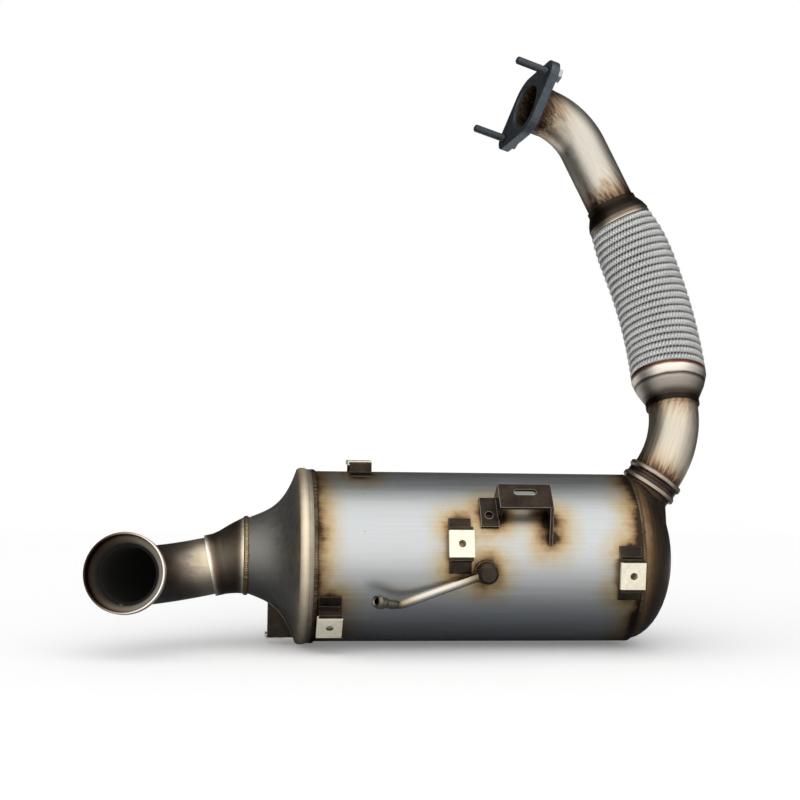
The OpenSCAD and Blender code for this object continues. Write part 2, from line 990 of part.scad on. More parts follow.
module catalyst_mat() {
    color("#d8d4c6")
        mat(catalyst_x, catalyst_len);
}

// Segmented brick with a joint groove between its segments at both faces
module filter_brick() {
    pitch = 36;
    color("#8f8a84")
        difference() {
            brick(filter_x, filter_len);
            along_can()
                for (face = [filter_x, filter_x + filter_len])
                    for (i = [-1 : 1])
                        for (across = [0, 90])
                            rotate([0, 0, across])
                                translate([i * pitch - segment_joint / 2, -brick_d, face - 1])
                                    cube([segment_joint, 2 * brick_d, 2]);
        }
}

module filter_mat() {
    color("#d8d4c6")
        mat(filter_x, filter_len);
}

inlet_bell();
inlet_elbow();
inlet_adapter();
inlet_cone();
inlet_cone_weld();
can_inlet_weld();
can_shell();
can_outlet_weld();
outlet_cone();
outlet_collar();
lower_pipe();
lower_ferrule();
flex_braid();
flex_bellows();
flex_liner();
upper_ferrule();
upper_pipe();
flange_weld();
outlet_flange();
flange_studs();
shield_bracket_left();
shield_bracket_middle();
shield_bracket_right();
shield_bracket_top();
shield_bracket_cone();
clip_nuts();
engine_bracket();
pressure_boss();
pressure_pipe();
pressure_nipple();
catalyst_brick();
catalyst_mat();
filter_brick();
filter_mat();
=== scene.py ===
import json
import math

import bpy
import numpy as np
from mathutils import Matrix, Vector


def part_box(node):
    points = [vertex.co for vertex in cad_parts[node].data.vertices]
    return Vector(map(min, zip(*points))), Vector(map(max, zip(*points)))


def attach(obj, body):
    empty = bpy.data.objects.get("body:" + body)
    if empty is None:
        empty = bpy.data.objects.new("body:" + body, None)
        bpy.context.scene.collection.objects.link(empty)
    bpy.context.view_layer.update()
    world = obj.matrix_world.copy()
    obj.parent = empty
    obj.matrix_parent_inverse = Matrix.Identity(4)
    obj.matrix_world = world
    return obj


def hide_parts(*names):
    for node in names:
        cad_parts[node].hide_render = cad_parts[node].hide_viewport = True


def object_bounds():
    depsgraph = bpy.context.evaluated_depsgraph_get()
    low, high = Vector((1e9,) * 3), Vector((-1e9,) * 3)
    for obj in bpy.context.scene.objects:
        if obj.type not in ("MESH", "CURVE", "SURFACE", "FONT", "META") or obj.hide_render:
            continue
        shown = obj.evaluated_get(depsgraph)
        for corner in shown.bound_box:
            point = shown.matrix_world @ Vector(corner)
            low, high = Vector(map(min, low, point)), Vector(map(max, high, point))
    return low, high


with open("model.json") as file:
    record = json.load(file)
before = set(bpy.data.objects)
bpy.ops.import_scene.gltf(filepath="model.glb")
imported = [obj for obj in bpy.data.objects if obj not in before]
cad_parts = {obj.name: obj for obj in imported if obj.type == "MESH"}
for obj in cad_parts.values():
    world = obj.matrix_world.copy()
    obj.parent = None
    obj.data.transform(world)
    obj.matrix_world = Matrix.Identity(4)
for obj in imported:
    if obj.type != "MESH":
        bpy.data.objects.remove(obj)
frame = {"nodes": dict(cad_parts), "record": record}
cad_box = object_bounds()

# Can: a sheet of stainless steel, rolled to a tube and brushed by the rollers.
# It carries all brackets but one, and the torch has burnt a straw and brown halo round each weld on it.
can_low, can_high = (Vector(corner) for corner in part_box("can_shell"))
can_under_skirt = 0.011
can_r = (can_high.z - can_low.z) / 2
can_start = Vector((can_low.x + can_under_skirt, (can_low.y + can_high.y) / 2, (can_low.z + can_high.z) / 2))
can_len = can_high.x - can_start.x


def on_can(x, theta, lift=0.0):
    """Frame on the can's skin: X along the can, Y round it upwards, Z out of it.
    Theta is in degrees and counts up from the front."""
    turn = Matrix.Rotation(math.radians(90 - theta), 4, "X")
    return Matrix.Translation(can_start + Vector((x, 0, 0))) @ turn @ Matrix.Translation((0, 0, can_r + lift))


def linear(hex_colour, alpha=1.0):
    """sRGB hex to the linear colour that the shaders use."""
    parts = [int(hex_colour[i:i + 2], 16) / 255 for i in (1, 3, 5)]
    return tuple(c / 12.92 if c <= 0.04045 else ((c + 0.055) / 1.055) ** 2.4 for c in parts) + (alpha,)


def add(tree, kind, inputs=None, **settings):
    """Adds one node with its settings. An input is a value, or an output socket to link."""
    made = tree.nodes.new(kind)
    for name, value in settings.items():
        setattr(made, name, value)
    for name, value in (inputs or {}).items():
        if isinstance(value, bpy.types.NodeSocket):
            tree.links.new(value, made.inputs[name])
        else:
            made.inputs[name].default_value = value
    return made


def heat_distance(tree, place, rings, spots):
    """Distance in metres to the nearest weld.
    Rings are (axis, place along it, half width), and spots are (point, radius)."""
    halos_merge = 0.006
    nearest = None
    for axis, offset, half_width in rings:
        along = add(tree, "ShaderNodeVectorMath", {0: place, 1: tuple(axis)}, operation="DOT_PRODUCT")
        gap = add(tree, "ShaderNodeMath", {0: along.outputs["Value"], 1: offset}, operation="SUBTRACT")
        gap = add(tree, "ShaderNodeMath", {0: gap.outputs[0]}, operation="ABSOLUTE")
        gap = add(tree, "ShaderNodeMath", {0: gap.outputs[0], 1: half_width}, operation="SUBTRACT").outputs[0]
        if nearest is not None:
            gap = add(tree, "ShaderNodeMath", {0: nearest, 1: gap}, operation="MINIMUM").outputs[0]
        nearest = gap
    for point, radius in spots:
        gap = add(tree, "ShaderNodeVectorMath", {0: place, 1: tuple(point)}, operation="DISTANCE")
        gap = add(tree, "ShaderNodeMath", {0: gap.outputs["Value"], 1: radius}, operation="SUBTRACT")
        gap = gap.outputs[0]
        if nearest is not None:
            gap = add(tree, "ShaderNodeMath", {0: nearest, 1: gap, 2: halos_merge}, operation="SMOOTH_MIN")
            gap = gap.outputs[0]
        nearest = gap
    return nearest


def steel_heat_tints_and_painted_light(name, tints, grain, rough, rings=(), spots=(), waver=0.006, run=0.0,
                 bump=0.08, streak=0.07, lie=(1, 0, 0), blend="B_SPLINE"):
    """Steel with annealing colours, which on some pieces also carry painted highlights and painted shade.
    Tints are (distance from the weld in mm, colour).
    On a piece that names no weld they follow clouds.
    Grain is the length and width of a brush streak in mm, and the streaks lie along the given direction.
    Waver and run are how far, in metres, a tint strays in clouds and along the streaks."""
    cloud_mm = 18
    scratch_deep = 0.0002
    streak_low, streak_high = 0.3, 0.7
    surface = bpy.data.materials.new(name)
    surface.use_nodes = True
    tree = surface.node_tree
    shader = tree.nodes["Principled BSDF"]
    shader.inputs["Metallic"].default_value = 1.0
    place = add(tree, "ShaderNodeTexCoord").outputs["Object"]
    brushed = add(tree, "ShaderNodeMapping", {
        "Vector": place,
        "Rotation": tuple(Vector((1, 0, 0)).rotation_difference(Vector(lie)).to_euler()),
        "Scale": (grain[0] / 1000, grain[1] / 1000, grain[1] / 1000)}, vector_type="TEXTURE")
    lines = add(tree, "ShaderNodeTexNoise", {
        "Vector": brushed.outputs[0], "Scale": 1.0, "Detail": 4.0, "Roughness": 0.6}).outputs["Fac"]
    cloud = add(tree, "ShaderNodeTexNoise", {
        "Vector": place, "Scale": 1000 / cloud_mm, "Detail": 5.0, "Roughness": 0.6}).outputs["Fac"]
    last = tints[-1][0] / 1000
    part = cloud
    if rings or spots:
        gap = heat_distance(tree, place, rings, spots)
        for noise, reach in ((cloud, waver), (lines, run)):
            stray = add(tree, "ShaderNodeMath", {0: noise, 1: 0.5}, operation="SUBTRACT")
            gap = add(tree, "ShaderNodeMath", {
                0: stray.outputs[0], 1: 2 * reach, 2: gap}, operation="MULTIPLY_ADD").outputs[0]
        part = add(tree, "ShaderNodeMath", {0: gap, 1: last}, operation="DIVIDE").outputs[0]
    ramp = add(tree, "ShaderNodeValToRGB", {"Fac": part})
    ramp.color_ramp.interpolation = blend
    stops = ramp.color_ramp.elements
    while len(stops) < len(tints):
        stops.new(0.5)
    for stop, (reach, colour) in zip(stops, tints):
        stop.position = reach / 1000 / last
        stop.color = linear(colour)
    shade = add(tree, "ShaderNodeMapRange", {
        "Value": lines, "From Min": streak_low, "From Max": streak_high,
        "To Min": 1 - streak, "To Max": 1 + streak / 2})
    tone = add(tree, "ShaderNodeVectorMath", {
        0: ramp.outputs["Color"], "Scale": shade.outputs[0]}, operation="SCALE")
    tree.links.new(tone.outputs[0], shader.inputs["Base Color"])
    gloss = add(tree, "ShaderNodeMapRange", {
        "Value": lines, "From Min": streak_low, "From Max": streak_high,
        "To Min": rough[0], "To Max": rough[1]})
    tree.links.new(gloss.outputs[0], shader.inputs["Roughness"])
    relief = add(tree, "ShaderNodeBump", {"Height": lines, "Strength": bump, "Distance": scratch_deep})
    tree.links.new(relief.outputs[0], shader.inputs["Normal"])
    return surface


def paint(node, surface):
    """Gives a carried-over solid its finish."""
    mesh = frame["nodes"][node].data
    mesh.materials.clear()
    mesh.materials.append(surface)


# The halos: each shield bracket stands on two feet, one above and one below its clip.
# A bracket's place is given along the can in metres and round it in degrees.
shield_brackets = ((0.014, -39), (0.127, 13), (can_len - 0.012, -5), (0.044, 90))
shield_foot_out, shield_foot_r = 0.0185, 0.005
engine_tab = on_can(0.157, 34)
engine_leg_top, engine_leg_end = on_can(0.208, 30), on_can(0.208, 18)
boss_x, boss_theta = 0.150, -4
can_spots = [
    (on_can(x, theta) @ Vector((0, side * shield_foot_out, 0)), shield_foot_r)
    for x, theta in shield_brackets for side in (-1, 1)]
can_spots += [
    (on_can(boss_x, boss_theta).translation, 0.008), (engine_tab.translation, 0.009),
    (engine_leg_top.translation, 0.006), (engine_leg_end.translation, 0.004)]

# Brushed stainless: long fine scratches spread the light along the can into one broad, soft band.
# Soot-brown, bronze and straw follow each other within 20 mm of a weld, then the grey sheet begins.
# Real brush marks are finer than a pixel here, so the streaks are drawn 1.6 mm wide to show.
can_steel = steel_heat_tints_and_painted_light(
    "rolled_stainless_brushed",
    [(0, "#2a211b"), (2, "#54402f"), (5, "#846a4b"), (10, "#ab9672"), (17, "#b0a896"), (30, "#b2b6b9")],
    grain=(90, 1.6), rough=(0.34, 0.44), bump=0.03, streak=0.08, waver=0.009, run=0.0025,
    rings=[((1, 0, 0), can_start.x, 0.001), ((1, 0, 0), can_high.x, 0.003)], spots=can_spots)

# Weld spatter: a few burnt-on drops, under 1.5 mm across, which break the even sheet.
spatter_spacing = 0.014
spatter_r = 0.0006
can_tree = can_steel.node_tree
can_shader = can_tree.nodes["Principled BSDF"]
can_clean = can_shader.inputs["Base Color"].links[0].from_socket
can_place = add(can_tree, "ShaderNodeTexCoord").outputs["Object"]
spatter = add(can_tree, "ShaderNodeTexVoronoi", {"Vector": can_place, "Scale": 1 / spatter_spacing})
spatter_mark = add(can_tree, "ShaderNodeMapRange", {
    "Value": spatter.outputs["Distance"], "From Min": 0.5 * spatter_r / spatter_spacing,
    "From Max": spatter_r / spatter_spacing, "To Min": 1.0, "To Max": 0.0})
can_marked = add(can_tree, "ShaderNodeMix", {
    "Factor": spatter_mark.outputs[0], 6: can_clean, 7: linear("#2f2923")}, data_type="RGBA")
can_tree.links.new(can_marked.outputs[2], can_shader.inputs["Base Color"])
paint("can_shell", can_steel)

# Bricks and mats: a cordierite catalyst and a silicon carbide filter, each wrapped in a felted fibre mat.
# They are pressed into the can before its cones are welded on, and show only where the can is cut open.
cell_pitch = 0.0016
wall_share = 0.13
cell_deep = 0.0005


def honeycomb(name, wall, cell_shade):
    """Extruded ceramic: square cells between thin pale walls, with the cells painted dark as the shade down
    their open channels, dull and dusty.
    """
    surface = bpy.data.materials.new(name)
    surface.use_nodes = True
    tree = surface.node_tree
    shader = tree.nodes["Principled BSDF"]
    shader.inputs["Roughness"].default_value = 0.85
    split = add(tree, "ShaderNodeSeparateXYZ", {0: add(tree, "ShaderNodeTexCoord").outputs["Object"]})
    flat = add(tree, "ShaderNodeCombineXYZ", {0: split.outputs["Y"], 1: split.outputs["Z"]})
    cells = add(tree, "ShaderNodeTexBrick", {
        "Vector": flat.outputs[0], "Color1": linear(cell_shade), "Color2": linear(cell_shade), "Mortar": linear(wall),
        "Scale": 1.0, "Mortar Size": cell_pitch * wall_share,
        "Brick Width": cell_pitch, "Row Height": cell_pitch}, offset=0.0)
    tree.links.new(cells.outputs["Color"], shader.inputs["Base Color"])
    relief = add(tree, "ShaderNodeBump", {
        "Height": cells.outputs["Fac"], "Strength": 0.6, "Distance": cell_deep})
    tree.links.new(relief.outputs[0], shader.inputs["Normal"])
    return surface


paint("catalyst_brick", honeycomb("cordierite_extruded", "#c9b58f", "#4a3d2b"))
paint("filter_brick", honeycomb("silicon_carbide_extruded", "#77736c", "#1f1e1c"))

# Alumina felt: matte, off-white and fuzzy, with hairs of less than a millimetre.
fibre_mm = 0.7
fibre = bpy.data.materials.new("alumina_fibre_felted")
fibre.use_nodes = True
fibre_tree = fibre.node_tree
fibre_shader = fibre_tree.nodes["Principled BSDF"]
fibre_shader.inputs["Roughness"].default_value = 0.95
fibre_hairs = add(fibre_tree, "ShaderNodeTexNoise", {
    "Vector": add(fibre_tree, "ShaderNodeTexCoord").outputs["Object"], "Scale": 1000 / fibre_mm,
    "Detail": 6.0, "Roughness": 0.7})
fibre_ramp = add(fibre_tree, "ShaderNodeValToRGB", {"Fac": fibre_hairs.outputs["Fac"]})
fibre_ramp.color_ramp.elements[0].color = linear("#b9b1a0")
fibre_ramp.color_ramp.elements[1].color = linear("#eae5d8")
fibre_tree.links.new(fibre_ramp.outputs["Color"], fibre_shader.inputs["Base Color"])
fibre_relief = add(fibre_tree, "ShaderNodeBump", {
    "Height": fibre_hairs.outputs["Fac"], "Strength": 0.5, "Distance": fibre_mm / 1000})
fibre_tree.links.new(fibre_relief.outputs[0], fibre_shader.inputs["Normal"])
for node in ("catalyst_mat", "filter_mat"):
    paint(node, fibre)

# Inlet cone: a deep-drawn stainless trumpet with a crowned skirt, slipped over the can and welded to it.
# The trumpet is dull grey from heat and the press, while a pale band is painted round the crown as its
# highlight.
crown_x = can_start.x - 0.0085
paint("inlet_cone", steel_heat_tints_and_painted_light(
    "drawn_stainless_heat_darkened",
    [(0, "#e0d4bb"), (3, "#cbbca1"), (6, "#857e74"), (12, "#7b7974"), (70, "#83817b")],
    grain=(14, 5), rough=(0.48, 0.6), rings=[((1, 0, 0), crown_x, 0.0)], waver=0.002))

# Reducer and elbow: pressed and bent stainless tube, sleeved into each other and welded to the cone.
# The gas has left a coat of soot on the inside, which shows through the mouth. It is drawn near black, so it
# is painted shade of the tube's inside as well.
droop = math.radians(12)
elbow_roll = math.radians(12)
elbow_r = 0.069
droop_axis = Vector((-math.cos(droop), 0, -math.sin(droop)))
elbow_side = Vector((
    -math.sin(elbow_roll) * math.sin(droop), -math.cos(elbow_roll), math.sin(elbow_roll) * math.cos(droop)))
elbow_start = can_start + Vector((-0.0896, 0, -0.0093))
sleeve_edge = droop_axis.dot(elbow_start) + 0.001
cone_weld_x = can_start.x - 0.061


def sooted_and_shaded(surface, centre, axis, bend_r, cut, rim=0.0):
    """Blackens the side of a tube's wall that faces the tube's own centre line, as soot and as painted shade.
    The bend lies across the axis, and a positive cut blackens the tube's end face too.
    The soot starts only behind a rim that the joint keeps clean."""
    flake_mm = 4
    first_soot = 0.6
    tree = surface.node_tree
    shader = tree.nodes["Principled BSDF"]
    clean = shader.inputs["Base Color"].links[0].from_socket
    polish = shader.inputs["Roughness"].links[0].from_socket
    place = add(tree, "ShaderNodeTexCoord").outputs["Object"]
    facing = add(tree, "ShaderNodeNewGeometry").outputs["Normal"]
    offset = add(tree, "ShaderNodeVectorMath", {0: place, 1: tuple(centre)}, operation="SUBTRACT").outputs[0]
    lift = add(tree, "ShaderNodeVectorMath", {0: offset, 1: tuple(axis)}, operation="PROJECT").outputs[0]
    across = add(tree, "ShaderNodeVectorMath", {0: offset, 1: lift}, operation="SUBTRACT").outputs[0]
    if bend_r:
        unit = add(tree, "ShaderNodeVectorMath", {0: across}, operation="NORMALIZE").outputs[0]
        middle = add(tree, "ShaderNodeVectorMath", {0: unit, "Scale": bend_r}, operation="SCALE").outputs[0]
        across = add(tree, "ShaderNodeVectorMath", {0: offset, 1: middle}, operation="SUBTRACT").outputs[0]
    outward = add(tree, "ShaderNodeVectorMath", {0: facing, 1: across}, operation="DOT_PRODUCT")
    inside = add(tree, "ShaderNodeMath", {
        0: outward.outputs["Value"], 1: cut}, operation="LESS_THAN").outputs[0]
    if rim:
        depth = add(tree, "ShaderNodeVectorMath", {0: lift}, operation="LENGTH").outputs["Value"]
        coated = add(tree, "ShaderNodeMapRange", {
            "Value": depth, "From Min": rim * first_soot, "From Max": rim})
        inside = add(tree, "ShaderNodeMath", {
            0: inside, 1: coated.outputs[0]}, operation="MULTIPLY").outputs[0]
    flakes = add(tree, "ShaderNodeTexNoise", {"Vector": place, "Scale": 1000 / flake_mm, "Detail": 4.0})
    # Near-black soot, which also stands for the shade inside the tube.
    soot_and_shade = add(tree, "ShaderNodeValToRGB", {"Fac": flakes.outputs["Fac"]})
    soot_and_shade.color_ramp.elements[0].color = linear("#050504")
    soot_and_shade.color_ramp.elements[1].color = linear("#1b1511")
    coat = add(tree, "ShaderNodeMix", {
        "Factor": inside, 6: clean, 7: soot_and_shade.outputs["Color"]}, data_type="RGBA")
    tree.links.new(coat.outputs[2], shader.inputs["Base Color"])
    bare = add(tree, "ShaderNodeMath", {0: 1.0, 1: inside}, operation="SUBTRACT")
    tree.links.new(bare.outputs[0], shader.inputs["Metallic"])
    dull = add(tree, "ShaderNodeMath", {0: polish, 1: inside}, operation="MAXIMUM")
    tree.links.new(dull.outputs[0], shader.inputs["Roughness"])
    return surface


# Browned pressing: dark, with one bright line painted as a highlight at the sleeve's edge and the weld.
paint("inlet_adapter", steel_heat_tints_and_painted_light(
    "pressed_stainless_browned",
    [(0, "#fff6e4"), (1, "#e9dcc4"), (3, "#5e4d3e"), (9, "#4f463c"), (18, "#625a50"), (40, "#6d665c")],
    grain=(20, 3), rough=(0.34, 0.48), waver=0.0012,
    rings=[((1, 0, 0), cone_weld_x, 0.0), (droop_axis, sleeve_edge, 0.0006)]))

# Browned tube: pale at the sleeve as a painted highlight, then brown-grey towards the mouth, with the drawing
# marks along it.
paint("inlet_elbow", sooted_and_shaded(
    steel_heat_tints_and_painted_light(
        "bent_stainless_tube_browned",
        [(0, "#c9bca6"), (8, "#b9ab95"), (18, "#83786b"), (34, "#5f564d"), (70, "#554d45")],
        grain=(30, 2.5), rough=(0.34, 0.46), waver=0.008, run=0.008, rings=[(droop_axis, sleeve_edge, 0.0)]),
    elbow_start + elbow_side * elbow_r, droop_axis.cross(elbow_side), elbow_r, cut=0.004))

# Inlet bell: a flared stainless mouth, pressed over the elbow's end, which clamps to the turbocharger.
# Its lip is painted bright cream on one side as its highlight, and dark brown on the other as its shade.
mounts = {mount["name"]: mount for mount in frame["record"]["mounts"]}
mouth = Vector(mounts["inlet"]["pos_m"])
mouth_axis = Vector(mounts["inlet"]["axis"])
mouth_r = mounts["inlet"]["dims"]["r_mm"] / 1000
mouth_left = Vector((-1, 0, 0)) - Vector((-1, 0, 0)).project(mouth_axis)
lip_wall = 0.0015
shade_spot_r, shade_spot_rise = 0.022, 0.006
mouth_shade_spot = mouth + mouth_left.normalized() * (mouth_r + lip_wall) + Vector((0, 0, shade_spot_rise))
# The lip's cream is a painted highlight, and the brown round the spot on the left is painted shade.
paint("inlet_bell", sooted_and_shaded(
    steel_heat_tints_and_painted_light(
        "flared_stainless_bright",
        [(0, "#2e211a"), (8, "#443328"), (18, "#6a5845"), (30, "#b9ab95"), (42, "#f0e8d9"), (70, "#f5efe3")],
        grain=(8, 2), rough=(0.3, 0.42), waver=0.004, spots=[(mouth_shade_spot, shade_spot_r)]),
    mouth, mouth_axis, 0.0, cut=-0.004, rim=0.017))

# Outlet cone: a drawn dome with its neck pulled out of it at a slant, welded to the end of the can.
# The gas leaves here at its hottest, so the steel has turned a dull, dark bronze.
paint("outlet_cone", steel_heat_tints_and_painted_light(
    "drawn_stainless_bronzed",
    [(0, "#7d644a"), (4, "#56452f"), (9, "#463a2f"), (25, "#453a31"), (60, "#433930")],
    grain=(16, 5), rough=(0.36, 0.52), lie=(0, 0, 1), waver=0.004, run=0.004,
    rings=[((1, 0, 0), can_high.x + 0.006, 0.0)]))


# Outlet line: collar, two bent pipes and the flex's ferrules, all stainless, bent on a mandrel or pressed.
# Its frame is carried from the neck to the flange, one piece after the other, as the pieces are welded.
def bent(start, radius, angle):
    """Frame at the end of a bend that leaves along Z and turns towards X."""
    swing = Matrix.Rotation(math.radians(angle), 4, "Y")
    return start @ Matrix.Translation((radius, 0, 0)) @ swing @ Matrix.Translation((-radius, 0, 0))


def rolled(start, length, angle):
    """Frame further along a line and turned about it."""
    return start @ Matrix.Translation((0, 0, length)) @ Matrix.Rotation(math.radians(angle), 4, "Z")


def ring_at(joint, along=0.0):
    """Axis, place and half width of a weld ring that lies across the line at a frame."""
    axis = joint.to_3x3() @ Vector((0, 0, 1))
    return axis, axis.dot(joint @ Vector((0, 0, along))), 0.0


neck_rise, neck_ahead, neck_below = 56, 0.027, 0.0095
collar_len = 0.012
lower_r, lower_a = 0.094, 42
lower_tail, lower_ferrule_len = 0.001, 0.034
flex_len, flex_bow_a = 0.163, 24.8
upper_len, upper_r, upper_a = 0.086, 0.058, 55.5
upper_tail = 0.012
lower_roll, flex_roll, upper_roll, flange_roll = -37, 54, -8, 109
neck = Matrix.Translation(can_start + Vector((can_len + neck_ahead, 0, can_r - neck_below)))
neck = neck @ Matrix.Rotation(math.radians(90 - neck_rise), 4, "Y") @ Matrix.Rotation(math.pi, 4, "Z")
lower_start = rolled(neck, collar_len, lower_roll)
lower_end = bent(lower_start, lower_r, lower_a)
flex_start = rolled(lower_end, lower_tail + lower_ferrule_len, flex_roll)
flex_bow_r = flex_len / math.radians(flex_bow_a)
flex_end = bent(flex_start, flex_bow_r, flex_bow_a)
upper_bend = rolled(flex_end, upper_len, upper_roll)
flange = rolled(bent(upper_bend, upper_r, upper_a), upper_tail, flange_roll)
pipe_lie = Vector((0.3, 0, 1))

# Turned collar: two ridges with a painted highlight on each, either side of a groove painted black as its
# shade.
paint("outlet_collar", steel_heat_tints_and_painted_light(
    "turned_stainless_ridged", [(0, "#241d18"), (3, "#5a4d42"), (5, "#b3a695"), (8, "#83776a")],
    grain=(10, 1.2), rough=(0.3, 0.42), waver=0.002, rings=[ring_at(neck, 0.004)]))

# Straw and cream tubes: bright in the middle, with brown tongues along the drawing marks at both welds.
paint("lower_pipe", steel_heat_tints_and_painted_light(
    "bent_stainless_tube_straw",
    [(0, "#3f3029"), (4, "#7b5f49"), (10, "#b09b80"), (22, "#c4baa8"), (45, "#bcb4a6")],
    grain=(40, 2.2), rough=(0.34, 0.44), streak=0.14, waver=0.006, run=0.012,
    lie=lower_start.to_3x3() @ pipe_lie,
    rings=[ring_at(neck, collar_len), ring_at(lower_end, 0.004)]))
paint("upper_pipe", steel_heat_tints_and_painted_light(
    "bent_stainless_tube_cream",
    [(0, "#2f2620"), (6, "#5c4737"), (14, "#a08a73"), (26, "#c0b9ab"), (50, "#b9b4a9")],
    grain=(40, 2.2), rough=(0.34, 0.44), streak=0.14, waver=0.006, run=0.016,
    lie=flex_end.to_3x3() @ pipe_lie,
    rings=[ring_at(flex_end, 0.020), ring_at(flange, -0.006)]))

# Pressed ferrules: a rust-red line at the weave, a bright band painted as the highlight of the rolled bead, a
# black crease painted as its shade, then a dark cone.
paint("lower_ferrule", steel_heat_tints_and_painted_light(
    "pressed_stainless_ferrule",
    [(0, "#3d241b"), (2, "#7d4f3b"), (4, "#e3dacf"), (10, "#cdc3b7"), (12, "#2b241f"), (15, "#a49b92"),
     (22, "#8f867d"), (26, "#564d45"), (30, "#29231f"), (34, "#29231f")],
    grain=(12, 1.5), rough=(0.3, 0.42), waver=0.0012, blend="LINEAR", rings=[ring_at(flex_start)]))
paint("upper_ferrule", steel_heat_tints_and_painted_light(
    "pressed_stainless_ferrule_upper",
    [(0, "#c2b6a3"), (3, "#85786a"), (7, "#3b322b"), (14, "#2a231e"), (22, "#33291f")],
    grain=(12, 1.5), rough=(0.28, 0.42), waver=0.0012, blend="LINEAR", rings=[ring_at(flex_end)]))

# Liner and bellows: thin stainless inside the flex.
# The bellows are painted near black as the shade inside the sleeve, so the weave's holes read as dark dots.
paint("flex_liner", bpy.data.materials["bent_stainless_tube_straw"])
paint("flex_bellows", steel_heat_tints_and_painted_light(
    "formed_stainless_painted_shade", [(0, "#161615"), (40, "#0e0e0d")], grain=(10, 2), rough=(0.5, 0.6)))

# Woven sleeve of the flex: flat bands of stainless wire, plaited over one and under one round the bellows.
# The bellows press a row of soft ridges through it, and its upper end is drawn in under the ferrule.
# The bands pull together between the ridges and leave a dark hole at each crossing's side.
band_count = 66
row_count = 22
row_pitch = flex_len / row_count
sleeve_r = 0.0343
row_rise = 0.0009
band_lift = 0.00042
band_thick = 0.00035
band_least, band_most = 0.44, 0.98
drawn_in = 0.0045
drawn_rows = 5.5
tuck = 0.003
tuck_drop, tuck_slope = 0.0012, 0.004
crossing = row_pitch / 2
twist = math.pi / (band_count * crossing)
slant = math.atan(twist * sleeve_r)
band_half = math.pi * sleeve_r / band_count * math.cos(slant)
band_profile = ((-1.0, 0.0), (-0.45, 1.0), (0.45, 1.0), (1.0, 0.0))
sides = len(band_profile)
steps = 180
along = np.linspace(-tuck, flex_len + tuck, steps)
swell = 0.5 - 0.5 * np.cos(2 * np.pi * along / row_pitch)
drawn = np.clip(1 - (flex_len - along) / (drawn_rows * row_pitch), 0, 1)
tucked = np.clip(1 - np.minimum(along + tuck, flex_len + tuck - along) / tuck_slope, 0, 1)
ridge = sleeve_r + row_rise * swell - drawn_in * drawn ** 2 - tuck_drop * tucked
half_width = band_half * (band_least + (band_most - band_least) * swell)
strands = []
for hand in (1, -1):
    middle = ridge + hand * band_lift * np.cos(np.pi * along / crossing)
    verts, faces = [], []
    for k in range(steps):
        for across, rise in band_profile:
            r = middle[k] + rise * band_thick
            a = hand * twist * along[k] + across * half_width[k] * math.cos(slant) / middle[k]
            z = along[k] - hand * across * half_width[k] * math.sin(slant)
            verts.append((r * math.cos(a), r * math.sin(a), z))
    for k in range(steps - 1):
        for j in range(sides):
            n = (j + 1) % sides
            faces.append((sides * k + j, sides * k + n, sides * (k + 1) + n, sides * (k + 1) + j))
    faces += [tuple(reversed(range(sides))), tuple(sides * (steps - 1) + j for j in range(sides))]
    mesh = bpy.data.meshes.new("wire_band")
    mesh.from_pydata(verts, [], faces)
    layer = mesh.uv_layers.new(name="UVMap")
    for loop in mesh.loops:
        across, rise = band_profile[loop.vertex_index % sides]
        layer.data[loop.index].uv = (along[loop.vertex_index // sides] * 1000, (across + 1) / 2)
    mesh.update()
    strands.append(bpy.data.objects.new("wire_band", mesh))
    bpy.context.scene.collection.objects.link(strands[-1])

# Bright wire: five round wires lie side by side in a band, with painted shade in the grooves between the
# wires and in the furrows between the ridges.
wires_in_band = 5
wire_deep = 0.0003
wire_cloud_mm = 16
groove_shade, furrow_shade = 0.62, 0.5
wire = bpy.data.materials.new("stainless_wire_plaited")
wire.use_nodes = True
wire_tree = wire.node_tree
wire_shader = wire_tree.nodes["Principled BSDF"]
wire_shader.inputs["Metallic"].default_value = 1.0
wire_shader.inputs["Roughness"].default_value = 0.3
wire_uv = add(wire_tree, "ShaderNodeUVMap", uv_map="UVMap").outputs[0]
wire_uv = add(wire_tree, "ShaderNodeSeparateXYZ", {0: wire_uv})
wire_wave = add(wire_tree, "ShaderNodeMath", {
    0: wire_uv.outputs["Y"], 1: wires_in_band * math.pi}, operation="MULTIPLY")
wire_wave = add(wire_tree, "ShaderNodeMath", {0: wire_wave.outputs[0]}, operation="SINE")
wire_round = add(wire_tree, "ShaderNodeMath", {0: wire_wave.outputs[0]}, operation="ABSOLUTE").outputs[0]
wire_groove_shade = add(wire_tree, "ShaderNodeMapRange", {
    "Value": wire_round, "From Min": 0.0, "From Max": 0.6, "To Min": groove_shade, "To Max": 1.0})
row_turn = 2 * math.pi / (row_pitch * 1000)
wire_row = add(wire_tree, "ShaderNodeMath", {0: wire_uv.outputs["X"], 1: row_turn}, operation="MULTIPLY")
wire_row = add(wire_tree, "ShaderNodeMath", {0: wire_row.outputs[0]}, operation="COSINE")
wire_furrow_shade = add(wire_tree, "ShaderNodeMapRange", {
    "Value": wire_row.outputs[0], "From Min": -0.4, "From Max": 1.0, "To Min": 1.0, "To Max": furrow_shade})
wire_shade = add(wire_tree, "ShaderNodeMath", {
    0: wire_groove_shade.outputs[0], 1: wire_furrow_shade.outputs[0]}, operation="MULTIPLY")
wire_place = add(wire_tree, "ShaderNodeTexCoord").outputs["Object"]
wire_cloud = add(wire_tree, "ShaderNodeTexNoise", {
    "Vector": wire_place, "Scale": 1000 / wire_cloud_mm, "Detail": 3.0})
wire_ramp = add(wire_tree, "ShaderNodeValToRGB", {"Fac": wire_cloud.outputs["Fac"]})
wire_ramp.color_ramp.elements[0].color = linear("#dcdeda")
